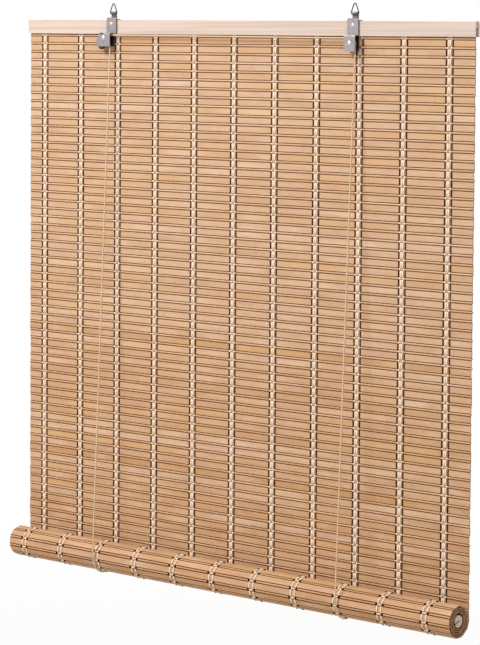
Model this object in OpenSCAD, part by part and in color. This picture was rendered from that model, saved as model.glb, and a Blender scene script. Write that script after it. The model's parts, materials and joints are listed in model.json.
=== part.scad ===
// Woven bamboo roll-up blind, half let down: head rail, slat mat, roll, hanging brackets and lift cords.
// The wall plane is y = 0 with the front towards -Y. The origin is the middle of the head rail's back.

/* [Mat] */
// Width of the woven mat
mat_w = 800; // [500:10:1200]
// Width of a flat slat
slat_w = 9.2; // [8:0.1:11]
// Thickness of a flat slat
slat_t = 1.4; // [1.2:0.1:1.6]
// Thickness of the thin reed between two slats
reed_d = 2.2; // [2:0.05:2.4]
// Groove between a slat and a reed
weave_gap = 0.3; // [0.2:0.05:0.5]
// Thickness of the weave that joins them in that groove
web_t = 0.5; // [0.4:0.05:0.7]
// Slat rows that hang below the top of the mat
drop_rows = 63; // [30:1:90]
// How far the mat's top edge is tucked into the rail's groove
mat_tuck = 10.7; // [6:0.1:11]

/* [Roll] */
// Slat rows wound on the roll
roll_rows = 37; // [20:1:60]
// Growth of the roll's radius in one turn
turn_pitch = 2.61; // [2.55:0.01:3.2]
// Diameter of the bottom rod in the middle of the roll
rod_d = 16; // [14:0.5:20]
// Room between the bottom rod and the first turn
rod_room = 0.8; // [0.4:0.1:1.5]
// Room on each side of the last slat in the rod's slit
slit_room = 0.3; // [0.2:0.05:0.6]

/* [Warp yarns] */
// Columns of yarn across the mat
column_count = 11; // [5:1:15]
// Left edge of the mat to the first column
first_column = 30; // [15:1:60]
// Last column to the right edge of the mat
last_column = 40; // [15:1:60]
// Width of the pale band in a column
cream_w = 6; // [4:0.5:8]
// Width of one brown yarn
brown_w = 1.4; // [1:0.1:2]
// Middle of a column to its brown yarns
brown_offset = 5.4; // [4.8:0.1:7]
// Thickness of the yarn on the mat
yarn_t = 0.5; // [0.3:0.05:0.55]

/* [Head rail] */
// Height of the head rail
rail_h = 20; // [18:0.5:24]
// Depth of the head rail
rail_d = 8.5; // [7.8:0.1:10]
// How far the rail runs past the mat on each side
rail_overhang = 2; // [0:0.5:10]
// Radius of the rail's top edge at the front
rail_front_r = 1; // [0.5:0.1:1.4]
// Radius of the rail's top edge at the back
rail_back_r = 3.5; // [2.5:0.1:4]
// Width of the groove for the mat
groove_w = 3.6; // [3.5:0.05:3.9]
// Depth of the groove for the mat
groove_depth = 11.2; // [11:0.1:12]
// Wood behind the groove
back_lip = 3.4; // [3.2:0.1:3.6]
// Diameter of the holes that hold the cord ends
socket_d = 2.1; // [2.05:0.05:2.4]
// Depth of the holes that hold the cord ends
socket_depth = 6; // [5.5:0.5:9]

/* [Brackets] */
// Thickness of the folded steel sheet
sheet = 1.2; // [0.8:0.1:1.4]
// Width of a bracket's upper plate
plate_w = 18.5; // [16:0.5:20]
// Left end of the rail to the middle of the left bracket
left_inset = 169; // [60:1:240]
// Right end of the rail to the middle of the right bracket
right_inset = 197; // [60:1:240]
// How far the upper plate stands above the rail
plate_rise = 3.4; // [2:0.1:5]
// Corner radius of the upper plate
plate_r = 3; // [1:0.5:5]
// Room between a housing's two cheeks
house_gap = 7; // [6.8:0.1:8]
// Top of the housings below the rail's middle
house_top = 8.6; // [8.4:0.1:9]
// Diameter of the screws in the rail
screw_d = 3; // [2.5:0.1:3.4]
// Length of a screw in the rail
screw_len = 5.5; // [4:0.5:6.5]
// Height of the screws above the rail's middle
screw_z = 4; // [3.5:0.1:5]
// Diameter of the rivets
rivet_d = 3; // [2.5:0.1:3.4]
// Diameter of screw and rivet heads
head_d = 6; // [5:0.1:6.5]
// Height of screw and rivet heads
head_h = 1.2; // [0.8:0.1:1.5]
// Height of the flat heads at the back of the rivets
upset_h = 0.7; // [0.4:0.1:0.9]

/* [Hanging rings] */
// Diameter of the ring wire
wire_d = 1.6; // [1.2:0.1:2]
// Half the width of the ring's triangle
ring_half = 7; // [6.9:0.1:9]
// Height of the ring's triangle before rounding
ring_h = 16.3; // [14:0.1:22]
// Radius of the ring's tip
tip_r = 2; // [1.5:0.1:3]
// Radius of the ring's lower corners
corner_r = 1; // [0.9:0.1:1.2]
// Width of the tongue that is curled round the ring
tongue_w = 10; // [8:0.5:10.5]
// Height of the ring's axis above the rail
curl_rise = 9.8; // [8:0.1:14]
// Rail's back to the ring's axis
curl_depth = 6; // [5.6:0.1:6.4]

/* [Pulley] */
// Diameter of the pulley wheel over its flanges
wheel_d = 14; // [12.5:0.5:15]
// Diameter of the wheel in its groove
wheel_groove_d = 10; // [9:0.1:10.1]
// Rail's middle down to the wheel's axle
wheel_drop = 19; // [18.9:0.1:19.5]
// Height of the pulley housing
pulley_house_h = 21.6; // [19:0.1:26]

/* [Cord lock] */
// Diameter of the lock's spool over its flanges
spool_d = 9.2; // [8:0.1:9.4]
// Diameter of the spool in its groove
spool_groove_d = 4.8; // [4.2:0.1:4.9]
// Bracket's middle to the spool's axle, to the left
spool_shift = 9; // [8.9:0.1:9.2]
// Rail's middle down to the spool's axle
spool_drop = 15.2; // [15.1:0.1:15.4]
// Height of the lock housing
lock_house_h = 19; // [18:0.1:22]
// Width of the lock housing at its top
lock_top_w = 20; // [19:0.1:22]
// Width of the lock housing at its bottom
lock_bottom_w = 27; // [26:0.1:30]
// Bracket's middle to the lock housing's right edge
lock_right = 3.5; // [2:0.1:5]
// Size of the cut lower left corner
lock_cut = 5; // [4:0.1:6]
// Reach of the cam's teeth from its pin
cam_reach = 11.3; // [10.5:0.1:11.5]
// Radius of the cam's hub
cam_hub_r = 3; // [2.6:0.1:3.2]
// Diameter of the cam's pin
cam_pin_d = 2.4; // [2:0.1:2.8]
// Bracket's middle to the cam's pin, to the left
cam_shift = 10.5; // [10:0.1:11]
// Rail's middle down to the cam's pin
cam_drop = 23.4; // [23.2:0.1:24]

/* [Cords] */
// Diameter of the lift cords
cord_d = 2; // [1.6:0.1:2]
// Room between the roll's yarns and the cord that runs under them
loop_room = 0.4; // [0.4:0.05:1]
// Left bracket's middle to the cord strand below it, to the right
left_strand = 1; // [0.5:0.1:1.5]
// Left bracket's middle to its cord's loop, to the right
left_loop = 6; // [4:0.5:10]
// Right bracket's middle to its cord's loop, to the right
right_loop = 12; // [6:0.5:16]
// Rail's back to the cord ends in the rail
cord_end_depth = 1.7; // [1.6:0.05:1.8]

/* [Hidden] */

// Clearances: a turning fit, wire in its curl, a drilled hole, side play of a turning piece
// and a soft piece on its seat
run_fit = 0.05;
curl_fit = 0.08;
drill_fit = 0.04;
side_play = 0.5;
soft_room = 0.2;
eps = 0.01;

// Fineness of rounds, of flat ring sectors, of the ring's wire and bends, and of the cords
round_fn = 64;
sector_steps = 6;
wire_sides = 12;
bend_steps = 7;
cord_sides = 8;
wrap_step = 30;
loop_step = 9;

// Colours
bamboo = "#c99f6c";
pale_wood = "#ead8c0";
cream = "#efe4cf";
brown = "#5b3921";
zinc = "#9b9a9c";
dark_wire = "#4d4c4f";
cord_white = "#dcdccb";
plastic = "#5a5552";

// Rail faces and the mat's plane
rail_top = rail_h / 2;
rail_len = mat_w + 2 * rail_overhang;
mat_y = -(back_lip + groove_w / 2);
row_pitch = slat_w + reed_d + 2 * weave_gap;
mat_top_z = mat_tuck - rail_top + weave_gap / 2;
reed_flank = reed_d / 4;
slat_start = weave_gap * 1.5 + reed_d;

// Roll: a spiral that starts tangent to the mat's back and winds under, up the front and inwards
turn_rate = turn_pitch / (2 * PI);
roll_len = (roll_rows - 1) * row_pitch + weave_gap / 2 + reed_d;
inner_r = rod_d / 2 + rod_room + reed_d / 2;
outer_r = sqrt(pow(inner_r, 2) + 2 * turn_rate * roll_len);
roll_y = mat_y - outer_r;
roll_z = mat_top_z - drop_rows * row_pitch;
tail_swing = 13;
tail_set = 0.4;
tail_angle = turn_angle(roll_len) + tail_swing;
tail_r = rod_d / 2 - tail_set;
slit_w = slat_t + 2 * slit_room;

// Yarn columns
column_step = (mat_w - first_column - last_column) / (column_count - 1);
front_warp_end = roll_z + outer_r / 2;
under_arc = [-180, -15];
over_arc = [60, 180];

// Bracket planes, front to back
strap_y = -rail_d - sheet;
cover_y = strap_y - sheet;
cheek_y = strap_y - house_gap - sheet;
gap_mid_y = strap_y - house_gap / 2;
inner_w = house_gap - 2 * side_play;
left_x = -rail_len / 2 + left_inset;
right_x = rail_len / 2 - right_inset;
plate_top = rail_top + plate_rise;
curl_z = rail_top + curl_rise;
curl_in = wire_d / 2 + curl_fit;
curl_out = curl_in + sheet;
curl_end = 285;
hook_from = 45;
bend_r = 1.5 * sheet;
lock_right_x = left_x + lock_right;
spool_x = left_x - spool_shift;
cam_x = left_x - cam_shift;
lock_bottom = -house_top - lock_house_h;
pulley_bottom = -house_top - pulley_house_h;
cam_teeth = 6;
cam_from = 190;
cam_to = 236;
tooth_h = 1;
tooth_lean = 0.8;
cam_flank = 75;

// Lift cords: both lie on the lock's spool. The left one hangs from it, the right one crosses to the pulley.
// Each hangs down the front, loops under the roll and ends in the rail behind the mat.
cord_side = (cord_d + soft_room) / 2;
left_cord_y = gap_mid_y - cord_side;
spool_cord_y = gap_mid_y + cord_side;
spool_wrap_r = (spool_groove_d + cord_d) / 2 + soft_room;
wheel_wrap_r = (wheel_groove_d + cord_d) / 2 + 1.5 * soft_room;
left_strand_x = left_x + left_strand;
right_strand_x = right_x + wheel_wrap_r;
left_loop_x = left_x + left_loop;
right_loop_x = right_x + right_loop;
strand_lead = 4;
strand_top = pulley_bottom - strand_lead / 5;
loop_lead = 14;
loop_r = outer_r + reed_d / 2 + yarn_t + cord_d / 2 + loop_room;
loop_top = roll_z + cord_d / 2;
end_lead = 10;
end_top = socket_depth - rail_top - 1;

function warp_name(i) = str("warp_", i < 10 ? "0" : "", i);
function column_x(i) = -mat_w / 2 + first_column + (i - 1) * column_step;

// Each mark is a place along the mat and the mat's half thickness there
function reed_marks(s) = [
    [s, web_t / 2],
    [s + reed_flank, reed_d / 2],
    [s + reed_d - reed_flank, reed_d / 2],
    [s + reed_d, web_t / 2]];
function slat_marks(s, parts) = concat(
    [[s, web_t / 2]],
    [for (i = [0 : parts]) [s + slat_w * i / parts, slat_t / 2]],
    [[s + slat_w, web_t / 2]]);

function hang_marks() = [for (j = [0 : drop_rows - 1]) each concat(
    reed_marks(j * row_pitch + weave_gap / 2),
    slat_marks(j * row_pitch + slat_start, 1))];
function roll_marks() = [for (j = [0 : roll_rows - 1]) each concat(
    reed_marks(j * row_pitch + weave_gap / 2),
    j < roll_rows - 1 ? slat_marks(j * row_pitch + slat_start, 2) : [])];
function tail_marks() = [[tail_r, web_t / 2], [tail_r, slat_t / 2], [tail_r - slat_w, slat_t / 2]];

// Points at a place along the mat, h to the mat's back or outer side
function hang_point(s, h) = [mat_y + h, mat_top_z - s];
function turn_angle(s) = (outer_r - sqrt(pow(outer_r, 2) - 2 * turn_rate * s)) / turn_rate * 180 / PI;
function spiral_point(s, h) =
    let (a = turn_angle(s), r = outer_r - turn_rate * a * PI / 180 + h)
    [roll_y + r * cos(a), roll_z - r * sin(a)];
function tail_point(r, h) = [
    roll_y + r * cos(tail_angle) - h * sin(tail_angle),
    roll_z - r * sin(tail_angle) - h * cos(tail_angle)];
function backwards(list) = [for (i = [len(list) - 1 : -1 : 0]) list[i]];
function unit(v) = v / norm(v);
function polar(r, a) = [r * cos(a), r * sin(a)];

// Places along a bend of the ring's wire: x, z and the direction away from the bend's centre
function bend_stations(centre, r, from, to) = [for (i = [0 : bend_steps])
    let (a = from + (to - from) * i / bend_steps)
    [centre[0] + r * cos(a), centre[1] + r * sin(a), a]];

// Routes of the cords: over a wheel, down the front, under the roll and up behind the mat
function wheel_wrap(x, y, z, r, from, to) = [for (a = [from : -wrap_step : to])
    [x + r * cos(a), y, z + r * sin(a)]];
function left_lock_route() = concat(
    wheel_wrap(spool_x, left_cord_y, -spool_drop, spool_wrap_r, 150, 30),
    [[left_strand_x, left_cord_y, strand_top + strand_lead], [left_strand_x, left_cord_y, strand_top]]);
function right_cross_route() = concat(
    wheel_wrap(spool_x, spool_cord_y, -spool_drop, spool_wrap_r, 150, 90),
    [[lock_right_x + strand_lead, spool_cord_y, spool_wrap_r - spool_drop],
        [right_x - plate_w / 2 - strand_lead, gap_mid_y, wheel_wrap_r - wheel_drop]],
    wheel_wrap(right_x, gap_mid_y, -wheel_drop, wheel_wrap_r, 90, 0),
    [[right_strand_x, gap_mid_y, strand_top]]);
function front_route(x, y, loop_x) = [
    [x, y, strand_top],
    [x, y, strand_top - strand_lead],
    [loop_x, roll_y - loop_r, loop_top + loop_lead],
    [loop_x, roll_y - loop_r, loop_top]];
function loop_route(x) = concat(
    [[x, roll_y - loop_r, loop_top]],
    [for (a = [0 : loop_step : 180]) [x, roll_y - loop_r * cos(a), roll_z - loop_r * sin(a)]],
    [[x, roll_y + loop_r, loop_top]]);
function back_route(x) = [
    [x, roll_y + loop_r, loop_top],
    [x, roll_y + loop_r, loop_top + loop_lead],
    [x, -cord_end_depth, -rail_top - end_lead],
    [x, -cord_end_depth, end_top]];

// Extrudes a (y, z) outline along X from x
module along_x(x, length) {
    translate([x, 0, 0])
        rotate([90, 0, 90])
            linear_extrude(length)
                children();
}

// Extrudes an (x, z) outline along Y from y, towards the back
module along_y(y, length) {
    translate([0, y + length, 0])
        rotate([90, 0, 0])
            linear_extrude(length)
                children();
}

// Cylinder along Y from y, towards the back
module rod_y(x, y, z, length, d) {
    translate([x, y, z])
        rotate([-90, 0, 0])
            cylinder(h = length, d = d, $fn = round_fn);
}

// Part of a flat ring between two angles that are less than a turn apart
module ring_sector(r_in, r_out, from, to) {
    step = (to - from) / sector_steps;
    intersection() {
        difference() {
            circle(r = r_out, $fn = round_fn);
            circle(r = r_in, $fn = round_fn);
        }
        polygon(concat([[0, 0]], [for (i = [0 : sector_steps]) polar(2 * r_out, from + i * step)]));
    }
}

// Low dome on a disc, standing out to the front from y
module dome_head(x, y, z) {
    ball_r = (pow(head_d / 2, 2) + pow(head_h, 2)) / (2 * head_h);
    intersection() {
        rod_y(x, y - head_h, z, head_h, head_d);
        translate([x, y - head_h + ball_r, z])
            sphere(r = ball_r, $fn = round_fn);
    }
}

// Round cord along a route, where side is a direction that the route never takes
module cord(route, side) {
    last = len(route) - 1;
    rings = [for (i = [0 : last])
        let (
            t = unit(unit(route[min(i + 1, last)] - route[min(i, last - 1)])
                + unit(route[max(i, 1)] - route[max(i - 1, 0)])),
            u = unit(side - (side * t) * t),
            v = cross(t, u))
        for (k = [0 : cord_sides - 1])
            let (p = polar(cord_d / 2, k * 360 / cord_sides))
            route[i] + p[0] * u + p[1] * v];
    walls = [for (i = [0 : last - 1], k = [0 : cord_sides - 1])
        let (a = i * cord_sides + k, b = i * cord_sides + (k + 1) % cord_sides)
        each [[a, a + cord_sides, b], [b, a + cord_sides, b + cord_sides]]];
    caps = [
        [for (k = [0 : cord_sides - 1]) k],
        [for (k = [cord_sides - 1 : -1 : 0]) last * cord_sides + k]];
    color(cord_white)
        polyhedron(rings, concat(walls, caps));
}

// Head rail: grooved wooden batten with rounded top edges
module rail_section() {
    difference() {
        union() {
            difference() {
                translate([-rail_d, -rail_top])
                    square([rail_d, rail_h]);
                translate([-rail_d - 1, rail_top - rail_front_r])
                    square(rail_front_r + 1);
                translate([-rail_back_r, rail_top - rail_back_r])
                    square(rail_back_r + 1);
            }
            translate([-rail_d + rail_front_r, rail_top - rail_front_r])
                circle(r = rail_front_r, $fn = round_fn);
            translate([-rail_back_r, rail_top - rail_back_r])
                circle(r = rail_back_r, $fn = round_fn);
        }
        translate([mat_y - groove_w / 2, -rail_top - 1])
            square([groove_w, groove_depth + 1]);
    }
}

module head_rail() {
    color(pale_wood)
        difference() {
            along_x(-rail_len / 2, rail_len)
                rail_section();
            for (x = [left_x, right_x])
                rod_y(x, -rail_d - 1, screw_z, screw_len + 1 + drill_fit, screw_d + 2 * drill_fit);
            for (x = [left_loop_x, right_loop_x])
                translate([x, -cord_end_depth, -rail_top - 1])
                    cylinder(h = socket_depth + 1, d = socket_d, $fn = round_fn);
        }
}

// Hanging part of the mat: flat slats and thin reeds by turns
module slat_mat() {
    marks = hang_marks();
    side = [for (i = [0 : len(marks) - 2]) marks[i]];
    back = [for (m = side) hang_point(m[0], m[1])];
    front = [for (m = side) hang_point(m[0], -m[1])];
    color(bamboo)
        along_x(-mat_w / 2, mat_w)
            polygon(concat(back, backwards(front)));
}

// Wound part of the mat, with its last slat in the slit of the bottom rod
module mat_roll() {
    marks = roll_marks();
    outer = concat(
        [for (m = marks) spiral_point(m[0], m[1])],
        [for (m = tail_marks()) tail_point(m[0], m[1])]);
    inner = concat(
        [for (m = marks) spiral_point(m[0], -m[1])],
        [for (m = tail_marks()) tail_point(m[0], -m[1])]);
    color(bamboo)
        along_x(-mat_w / 2, mat_w)
            polygon(concat(outer, backwards(inner)));
}

// Round rod at the mat's lower end, slit to hold the last slat
module bottom_rod() {
    slit_end = slat_w - tail_r + tail_set;
    color(pale_wood)
        along_x(-mat_w / 2, mat_w)
            translate([roll_y, roll_z])
                difference() {
                    circle(d = rod_d, $fn = round_fn);
                    rotate(-tail_angle)
                        translate([-slit_end, -slit_w / 2])
                            square([slit_end + rod_d, slit_w]);
                }
}

// Flat yarn on the front and the back of the hanging mat
module hanging_yarn(x, width) {
    for (side = [-1, 1]) {
        low = side < 0 ? front_warp_end : roll_z + weave_gap;
        translate([x - width / 2, mat_y + side * reed_d / 2 - (side < 0 ? yarn_t : 0), low])
            cube([width, yarn_t, mat_top_z - weave_gap - low]);
    }
}

module warp(i) {
    color(cream)
        hanging_yarn(column_x(i), cream_w);
}

module warp_brown() {
    color(brown)
        for (i = [1 : column_count], side = [-1, 1])
            hanging_yarn(column_x(i) + side * brown_offset, brown_w);
}

// Flat yarn round the outermost turn: one arc under the roll and one over it, with shifted centres
module wound_yarn(x, width) {
    half_step = turn_pitch / 4;
    seat_r = outer_r + reed_d / 2 + soft_room;
    under_r = seat_r - half_step;
    over_r = seat_r - 3 * half_step;
    along_x(x - width / 2, width) {
        translate([roll_y + half_step, roll_z])
            ring_sector(under_r, under_r + yarn_t, under_arc[0], under_arc[1]);
        translate([roll_y - half_step, roll_z])
            ring_sector(over_r, over_r + yarn_t, over_arc[0], over_arc[1]);
    }
}

module roll_warp() {
    color(cream)
        for (i = [1 : column_count])
            wound_yarn(column_x(i), cream_w);
}

module roll_warp_brown() {
    color(brown)
        for (i = [1 : column_count], side = [-1, 1])
            wound_yarn(column_x(i) + side * brown_offset, brown_w);
}

// Strap folded over the rail, with a tongue that is curled round the ring's wire
module strap_section() {
    translate([strap_y, -rail_top])
        square([sheet, rail_h - rail_front_r]);
    translate([-rail_d + rail_front_r, rail_top - rail_front_r])
        ring_sector(rail_front_r, rail_front_r + sheet, 90, 180);
    translate([-rail_d + rail_front_r, rail_top])
        square([rail_d - rail_front_r - rail_back_r, sheet]);
    translate([-rail_back_r, rail_top - rail_back_r])
        ring_sector(rail_back_r, rail_back_r + sheet, hook_from, 90);
}

module tongue_section() {
    translate([-curl_depth + curl_in, rail_top])
        square([sheet, curl_rise]);
    translate([-curl_depth, curl_z])
        ring_sector(curl_in, curl_out, 0, curl_end);
}

module strap_top(x) {
    along_x(x - plate_w / 2, plate_w)
        strap_section();
    along_x(x - tongue_w / 2, tongue_w)
        tongue_section();
}

module left_strap() {
    color(zinc)
        difference() {
            union() {
                strap_top(left_x);
                along_y(strap_y, sheet)
                    lock_outline();
            }
            rod_y(left_x, strap_y - 1, screw_z, sheet + 2, screw_d + 2 * drill_fit);
            rod_y(spool_x, strap_y - 1, -spool_drop, sheet + 2, rivet_d + 2 * drill_fit);
            rod_y(cam_x, strap_y - 1, -cam_drop, sheet + 2, cam_pin_d + 2 * drill_fit);
        }
}

module right_strap() {
    color(zinc)
        difference() {
            union() {
                strap_top(right_x);
                translate([right_x - plate_w / 2, strap_y, pulley_bottom])
                    cube([plate_w, sheet, -pulley_bottom - rail_top + eps]);
            }
            rod_y(right_x, strap_y - 1, screw_z, sheet + 2, screw_d + 2 * drill_fit);
            rod_y(right_x, strap_y - 1, -wheel_drop, sheet + 2, rivet_d + 2 * drill_fit);
        }
}

// Front outline of the lock housing: slanted on the left, with its lower left corner cut off
module lock_outline() {
    polygon([
        [lock_right_x, -house_top],
        [lock_right_x - lock_top_w, -house_top],
        [lock_right_x - lock_bottom_w, lock_bottom + lock_cut],
        [lock_right_x - lock_bottom_w + lock_cut, lock_bottom],
        [lock_right_x, lock_bottom]]);
}

// Slanted side wall of the lock housing
module lock_wall() {
    intersection() {
        lock_outline();
        polygon([
            [lock_right_x - lock_top_w - sheet, -house_top],
            [lock_right_x - lock_top_w + sheet, -house_top],
            [lock_right_x - lock_bottom_w + sheet, lock_bottom + lock_cut],
            [lock_right_x - lock_bottom_w - sheet, lock_bottom + lock_cut]]);
    }
}

// Upper plate of a cover, with round top corners
module plate_outline(x) {
    difference() {
        translate([x - plate_w / 2, -house_top - sheet])
            square([plate_w, plate_top + house_top + sheet]);
        for (side = [-1, 1])
            translate([x + side * plate_w / 2, plate_top])
                square(2 * plate_r, center = true);
    }
    for (side = [-1, 1])
        translate([x + side * (plate_w / 2 - plate_r), plate_top - plate_r])
            circle(r = plate_r, $fn = round_fn);
}

// Ledge that carries a cover's lower cheek forward, rounded at its front bend
module ledge_section() {
    translate([cheek_y + bend_r, -house_top - sheet])
        square([-cheek_y + cover_y - bend_r + eps, sheet]);
    translate([cheek_y + bend_r, -house_top - bend_r])
        ring_sector(bend_r - sheet, bend_r, 90, 180);
}

module lock_cover() {
    color(zinc)
        difference() {
            union() {
                along_y(cover_y, sheet)
                    plate_outline(left_x);
                along_x(left_x - plate_w / 2, lock_right + plate_w / 2)
                    ledge_section();
                along_y(cheek_y, sheet)
                    intersection() {
                        lock_outline();
                        translate([lock_right_x - 2 * lock_bottom_w, lock_bottom])
                            square([2 * lock_bottom_w, lock_house_h - bend_r]);
                    }
                along_y(cheek_y, house_gap + sheet)
                    lock_wall();
            }
            rod_y(left_x, cover_y - 1, screw_z, sheet + 2, screw_d + 2 * drill_fit);
            rod_y(spool_x, cheek_y - 1, -spool_drop, sheet + 2, rivet_d + 2 * drill_fit);
            rod_y(cam_x, cheek_y - 1, -cam_drop, sheet + 2, cam_pin_d + 2 * drill_fit);
        }
}

module pulley_cover() {
    color(zinc)
        difference() {
            union() {
                along_y(cover_y, sheet)
                    plate_outline(right_x);
                along_x(right_x - plate_w / 2, plate_w) {
                    ledge_section();
                    translate([cheek_y, pulley_bottom])
                        square([sheet, pulley_house_h - bend_r]);
                }
            }
            rod_y(right_x, cover_y - 1, screw_z, sheet + 2, screw_d + 2 * drill_fit);
            rod_y(right_x, cheek_y - 1, -wheel_drop, sheet + 2, rivet_d + 2 * drill_fit);
        }
}

// Triangular ring of bent wire, whose base turns in the strap's curl
module ring(x) {
    half_tip = atan(ring_half / ring_h);
    tip_z = ring_h - tip_r / sin(half_tip);
    corner_x = ring_half - corner_r / tan((90 - half_tip) / 2);
    stations = concat(
        bend_stations([corner_x, corner_r], corner_r, -90, half_tip),
        bend_stations([0, tip_z], tip_r, half_tip, 180 - half_tip),
        bend_stations([-corner_x, corner_r], corner_r, 180 - half_tip, 270));
    count = len(stations);
    points = [for (s = stations, k = [0 : wire_sides - 1])
        let (a = k * 360 / wire_sides, reach = wire_d / 2 * cos(a))
        [s[0] + reach * cos(s[2]), wire_d / 2 * sin(a), s[1] + reach * sin(s[2])]];
    faces = [for (i = [0 : count - 1], k = [0 : wire_sides - 1])
        let (
            next = (i + 1) % count * wire_sides,
            a = i * wire_sides + k,
            b = i * wire_sides + (k + 1) % wire_sides,
            c = next + k,
            d = next + (k + 1) % wire_sides)
        each [[a, b, c], [b, d, c]]];
    color(dark_wire)
        translate([x, -curl_depth, curl_z])
            polyhedron(points, faces);
}

module left_ring() {
    ring(left_x);
}

module right_ring() {
    ring(right_x);
}

// Rivet through both cheeks, domed at the front and flat at the back
module rivet(x, z) {
    color(zinc) {
        rod_y(x, cheek_y, z, house_gap + 2 * sheet, rivet_d);
        dome_head(x, cheek_y, z);
        rod_y(x, -rail_d, z, upset_h, head_d - head_h);
    }
}

module lock_rivet() {
    rivet(spool_x, -spool_drop);
}

module pulley_rivet() {
    rivet(right_x, -wheel_drop);
}

// Round-head screw through both plates into the rail
module plate_screw(x) {
    color(zinc) {
        dome_head(x, cover_y, screw_z);
        rod_y(x, cover_y, screw_z, 2 * sheet + screw_len, screw_d);
    }
}

module left_screw() {
    plate_screw(left_x);
}

module right_screw() {
    plate_screw(right_x);
}

// Grooved wheel on a rivet, between the cheeks
module grooved_wheel(x, z, outer_d, groove_d, floor_w) {
    wall = inner_w / 2;
    lip = (wall + floor_w / 2) / 2;
    bore_r = rivet_d / 2 + run_fit;
    color(plastic)
        translate([x, gap_mid_y, z])
            rotate([-90, 0, 0])
                rotate_extrude($fn = round_fn)
                    polygon([
                        [bore_r, -wall], [outer_d / 2, -wall], [outer_d / 2, -lip],
                        [groove_d / 2, -floor_w / 2], [groove_d / 2, floor_w / 2],
                        [outer_d / 2, lip], [outer_d / 2, wall], [bore_r, wall]]);
}

module spool() {
    grooved_wheel(spool_x, -spool_drop, spool_d, spool_groove_d, 2 * cord_d + 4 * soft_room);
}

module pulley_wheel() {
    grooved_wheel(right_x, -wheel_drop, wheel_d, wheel_groove_d, cord_d + 2 * soft_room);
}

// Toothed cam that pinches the cords against the slanted wall
module grip_cam() {
    tooth_angle = (cam_to - cam_from) / cam_teeth;
    teeth = [for (i = [0 : cam_teeth - 1]) each [
        polar(cam_reach, cam_from + i * tooth_angle),
        polar(cam_reach - tooth_h, cam_from + (i + tooth_lean) * tooth_angle)]];
    color(zinc)
        difference() {
            along_y(gap_mid_y - inner_w / 2, inner_w)
                translate([cam_x, -cam_drop]) {
                    circle(r = cam_hub_r, $fn = round_fn);
                    polygon(concat(
                        [polar(cam_hub_r, cam_from - cam_flank)],
                        teeth,
                        [polar(cam_hub_r, cam_to + cam_flank)]));
                }
            rod_y(cam_x, cheek_y, -cam_drop, house_gap + 2 * sheet, cam_pin_d + 2 * run_fit);
        }
}

module cam_pin() {
    color(zinc)
        rod_y(cam_x, cheek_y, -cam_drop, house_gap + 2 * sheet, cam_pin_d);
}

head_rail();
slat_mat();
mat_roll();
bottom_rod();
for (i = [1 : column_count])
    warp(i);
warp_brown();
roll_warp();
roll_warp_brown();
left_strap();
right_strap();
lock_cover();
pulley_cover();
left_ring();
right_ring();
lock_rivet();
pulley_rivet();
left_screw();
right_screw();
spool();
pulley_wheel();
grip_cam();
cam_pin();
cord(left_lock_route(), [0, 1, 0]);  // left_cord_lock
cord(front_route(left_strand_x, left_cord_y, left_loop_x), [1, 0, 0]);  // left_cord_front
cord(loop_route(left_loop_x), [1, 0, 0]);  // left_cord_loop
cord(back_route(left_loop_x), [1, 0, 0]);  // left_cord_back
cord(right_cross_route(), [0, 1, 0]);  // right_cord_cross
cord(front_route(right_strand_x, gap_mid_y, right_loop_x), [1, 0, 0]);  // right_cord_front
cord(loop_route(right_loop_x), [1, 0, 0]);  // right_cord_loop
cord(back_route(right_loop_x), [1, 0, 0]);  // right_cord_back
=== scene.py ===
"""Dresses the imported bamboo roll-up blind: woven mat, roll, yarns, brackets and lift cords, in metres."""

from __future__ import annotations

import json
import logging
import math
from collections.abc import Sequence
from dataclasses import dataclass
from enum import Enum
from functools import partial, reduce

import bmesh
import bpy
import numpy as np
from mathutils import Matrix, Vector

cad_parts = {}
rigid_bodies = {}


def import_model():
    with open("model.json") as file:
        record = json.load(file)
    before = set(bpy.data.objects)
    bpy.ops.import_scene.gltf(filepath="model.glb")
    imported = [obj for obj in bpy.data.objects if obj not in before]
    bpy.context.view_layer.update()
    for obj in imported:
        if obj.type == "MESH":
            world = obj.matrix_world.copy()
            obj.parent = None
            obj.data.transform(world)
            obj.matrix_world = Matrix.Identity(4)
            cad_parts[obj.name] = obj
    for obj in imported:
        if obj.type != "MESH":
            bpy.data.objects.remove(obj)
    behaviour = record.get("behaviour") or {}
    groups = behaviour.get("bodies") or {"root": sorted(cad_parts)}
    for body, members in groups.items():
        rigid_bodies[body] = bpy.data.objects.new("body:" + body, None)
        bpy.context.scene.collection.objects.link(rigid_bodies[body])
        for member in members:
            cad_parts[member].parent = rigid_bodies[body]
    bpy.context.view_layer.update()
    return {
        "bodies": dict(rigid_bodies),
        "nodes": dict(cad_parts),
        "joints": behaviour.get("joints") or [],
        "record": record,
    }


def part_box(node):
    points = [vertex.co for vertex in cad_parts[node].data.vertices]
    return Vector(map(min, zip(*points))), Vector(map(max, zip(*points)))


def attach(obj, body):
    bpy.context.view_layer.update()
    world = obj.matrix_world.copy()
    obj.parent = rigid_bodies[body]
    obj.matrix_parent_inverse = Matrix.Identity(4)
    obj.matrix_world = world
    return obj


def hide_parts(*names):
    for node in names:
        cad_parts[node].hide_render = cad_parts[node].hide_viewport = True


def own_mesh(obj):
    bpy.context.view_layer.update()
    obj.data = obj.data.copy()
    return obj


LOG = logging.getLogger("blind")
MM = 0.001
IMAGE_SIZE = (480, 645)
COLUMNS = 11
SCREEN_GAMMA = 2.2
SCREEN_WHITE = 255
HALF = 0.5
HALF_TURN = 180
DIRECT_RAYS = ("Is Camera Ray", "Is Glossy Ray", "Is Transmission Ray")
SIDEWAYS = Vector((1, 0, 0))
INWARDS = Vector((0, 1, 0))

# Sockets of a mix node that mixes colours
SHARE, UNDER, OVER, MIXED = 0, 6, 7, 2

# Sockets of a random value node that draws plain numbers
LEAST, MOST, DRAWN = 2, 3, 1

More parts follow.
